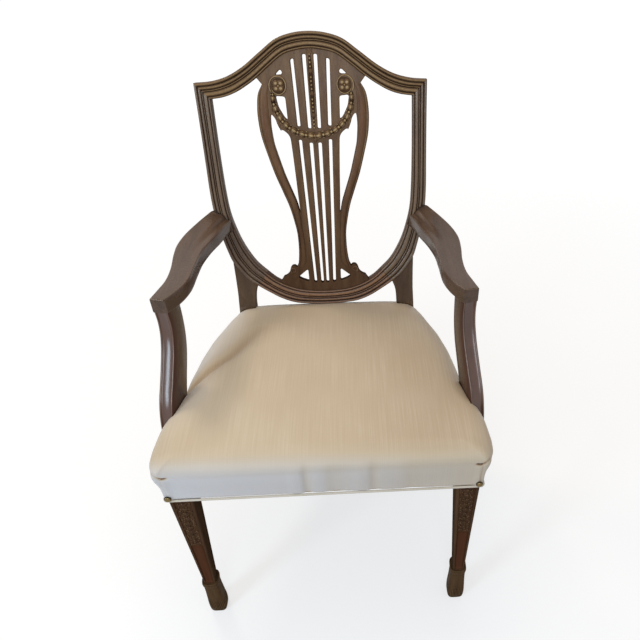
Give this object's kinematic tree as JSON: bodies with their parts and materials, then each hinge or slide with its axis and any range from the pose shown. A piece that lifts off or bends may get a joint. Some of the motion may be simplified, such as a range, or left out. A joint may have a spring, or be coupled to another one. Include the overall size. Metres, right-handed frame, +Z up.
{
  "type": "shield back armchair",
  "caption": "Open armchair with a shield-shaped back, pierced lyre splat, shaped arms, upholstered seat, tapered front legs on spade feet and raked rear legs.",
  "frame": {"origin": "on the floor, under the middle of the overall footprint", "axes": "+X to the right as seen from the front, +Y towards the back, +Z up"},
  "size_m": [0.5984, 0.597, 0.9842],
  "materials": {
    "mahogany": "waxed satin, slightly worn",
    "foot_wood": "dull, greyed mahogany",
    "beech": "unfinished",
    "silk": "woven silk with fine lengthways lines",
    "welt_silk": "woven silk piping",
    "jute": "coarse woven",
    "hessian": "coarse plain weave",
    "horsehair": "matted hair and felt",
    "cambric": "matt black lining",
    "brass": "polished, tarnished",
    "steel": "plain"
  },
  "bodies": {
    "root": {"crest_rail": "mahogany", "shield_bottom_rail": "mahogany", "lyre_splat": "mahogany", "left_crest_dowel": "beech", "left_shield_rail_dowel": "beech", "right_crest_dowel": "beech", "right_shield_rail_dowel": "beech", "left_arm_screw": "steel", "left_support_screw_lower": "steel", "left_support_screw_upper": "steel", "right_arm_screw": "steel", "right_support_screw_lower": "steel", "right_support_screw_upper": "steel", "front_left_block_screw_1": "steel", "front_left_block_screw_2": "steel", "front_right_block_screw_1": "steel", "front_right_block_screw_2": "steel", "rear_left_block_screw_1": "steel", "rear_left_block_screw_2": "steel", "rear_right_block_screw_1": "steel", "rear_right_block_screw_2": "steel", "front_left_corner_block": "beech", "front_right_corner_block": "beech", "rear_left_corner_block": "beech", "rear_right_corner_block": "beech", "right_back_upright": "mahogany", "left_back_upright": "mahogany", "left_arm_dowel": "beech", "right_arm_dowel": "beech", "right_arm": "mahogany", "left_arm": "mahogany", "right_arm_support": "mahogany", "left_arm_support": "mahogany", "left_corner_nail": "brass", "right_corner_nail": "brass", "right_front_leg": "mahogany", "left_front_leg": "mahogany", "right_spade_foot": "foot_wood", "left_spade_foot": "foot_wood", "front_seat_rail": "beech", "rear_seat_rail": "beech", "right_seat_rail": "beech", "left_seat_rail": "beech", "long_webbing_1": "jute", "long_webbing_2": "jute", "long_webbing_3": "jute", "long_webbing_4": "jute", "cross_webbing_1": "jute", "cross_webbing_2": "jute", "cross_webbing_3": "jute", "cross_webbing_4": "jute", "hessian": "hessian", "dust_cover": "cambric", "seat_cover": "silk", "seat_stuffing": "horsehair", "seat_welt": "welt_silk"}
  },
  "joints": []
}
